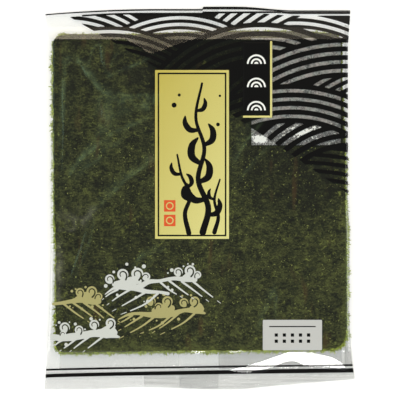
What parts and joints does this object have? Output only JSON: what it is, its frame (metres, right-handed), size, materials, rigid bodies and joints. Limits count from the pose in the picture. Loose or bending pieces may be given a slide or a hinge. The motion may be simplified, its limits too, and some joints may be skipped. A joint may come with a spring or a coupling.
{
  "type": "pack of roasted nori sheets",
  "caption": "Flat sealed pouch of clear printed film round a square stack of dark green roasted seaweed sheets, with a small paper sticker on the front",
  "frame": {"origin": "under the middle of the pouch, on the surface that it lies on", "axes": "+X to the right and +Y up as the print reads, +Z out of the printed front"},
  "size_m": [0.2008, 0.2474, 0.0061],
  "materials": {
    "film_over_nori": "clear glossy film over dark green roasted sheets",
    "paper": "matt white sticker paper",
    "clear_film": "thin clear film, glossy, with soft creases",
    "nori": "matt pressed fibre with pale green flecks and a ragged fringe",
    "black_ink": "black film print",
    "gold_ink": "pale gold film print with a soft sheen",
    "silver_ink": "silver grey film print",
    "red_ink": "red film print"
  },
  "bodies": {
    "root": {"bag": "film_over_nori", "count_sticker": "paper"}
  },
  "joints": []
}
